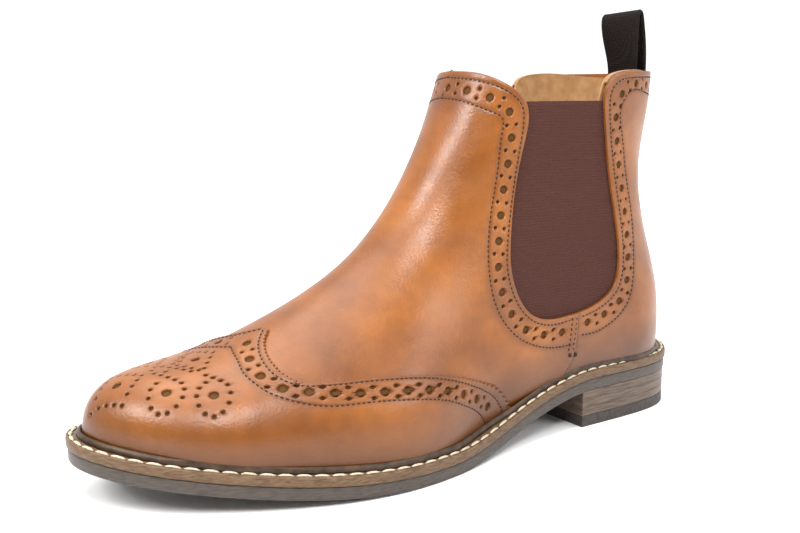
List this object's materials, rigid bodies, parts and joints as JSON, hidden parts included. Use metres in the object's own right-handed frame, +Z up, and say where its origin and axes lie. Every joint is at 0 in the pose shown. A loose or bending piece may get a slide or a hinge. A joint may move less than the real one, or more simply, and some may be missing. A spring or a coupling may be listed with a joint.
{
  "type": "chelsea boot",
  "caption": "Tan leather chelsea boot, left foot, with punched wingtip toe cap, brown elastic side gores, storm welt, stacked heel and webbing pull tab.",
  "frame": {"origin": "on the floor under the centre of the sole's outline", "axes": "+Z up, -Y towards the toe, +X towards the outer (lateral) side of a left foot"},
  "size_m": [0.1044, 0.302, 0.193],
  "materials": {
    "upper_leather": "glossy burnished tan calf",
    "gore_elastic": "ribbed elastic",
    "stiffener": "matte thermoplastic sheet",
    "backing_cloth": "plain cotton",
    "lining_leather": "smooth unfinished lining leather",
    "heel_rubber": "matte",
    "stacked_leather": "waxed edge, layered",
    "nail_steel": "bright",
    "outsole_leather": "waxed dark edge",
    "welt_leather": "waxed edge",
    "cork": "pressed cork paste",
    "shank_steel": "plain",
    "rand_leather": "dark, waxed",
    "insole_board": "pressed fibre board",
    "welt_thread": "waxed cream thread",
    "webbing": "ribbed woven webbing",
    "seam_thread": "waxed brown thread"
  },
  "bodies": {
    "root": {"cork_filler": "cork", "front_backing": "backing_cloth", "gore_lateral": "gore_elastic", "gore_medial": "gore_elastic", "heel_counter": "stiffener", "heel_lift_1": "stacked_leather", "heel_lift_2": "stacked_leather", "heel_lift_3": "stacked_leather", "heel_nails": "nail_steel", "insole": "insole_board", "outsole": "outsole_leather", "pull_tab_saddle": "webbing", "quarter_lateral": "upper_leather", "quarter_lining": "lining_leather", "quarter_medial": "upper_leather", "rear_backing": "backing_cloth", "shank": "shank_steel", "side_seam_bartacks": "seam_thread", "sock_liner": "lining_leather", "storm_rand": "rand_leather", "toe_puff": "stiffener", "top_lift": "heel_rubber", "vamp": "upper_leather", "vamp_lining": "lining_leather", "welt": "welt_leather", "welt_stitching": "welt_thread", "wing_toe_cap": "upper_leather"},
    "pull_tab": {"pull_tab_loop": "webbing"}
  },
  "joints": [
    {"name": "pull_tab_fold", "type": "hinge", "parent": "root", "child": "pull_tab", "pos_m": [-0.0034, 0.12642, 0.1672], "axis": [1, 0, 0], "range_deg": [-75, 75], "stiffness_Nm_per_rad": 0.002}
  ]
}
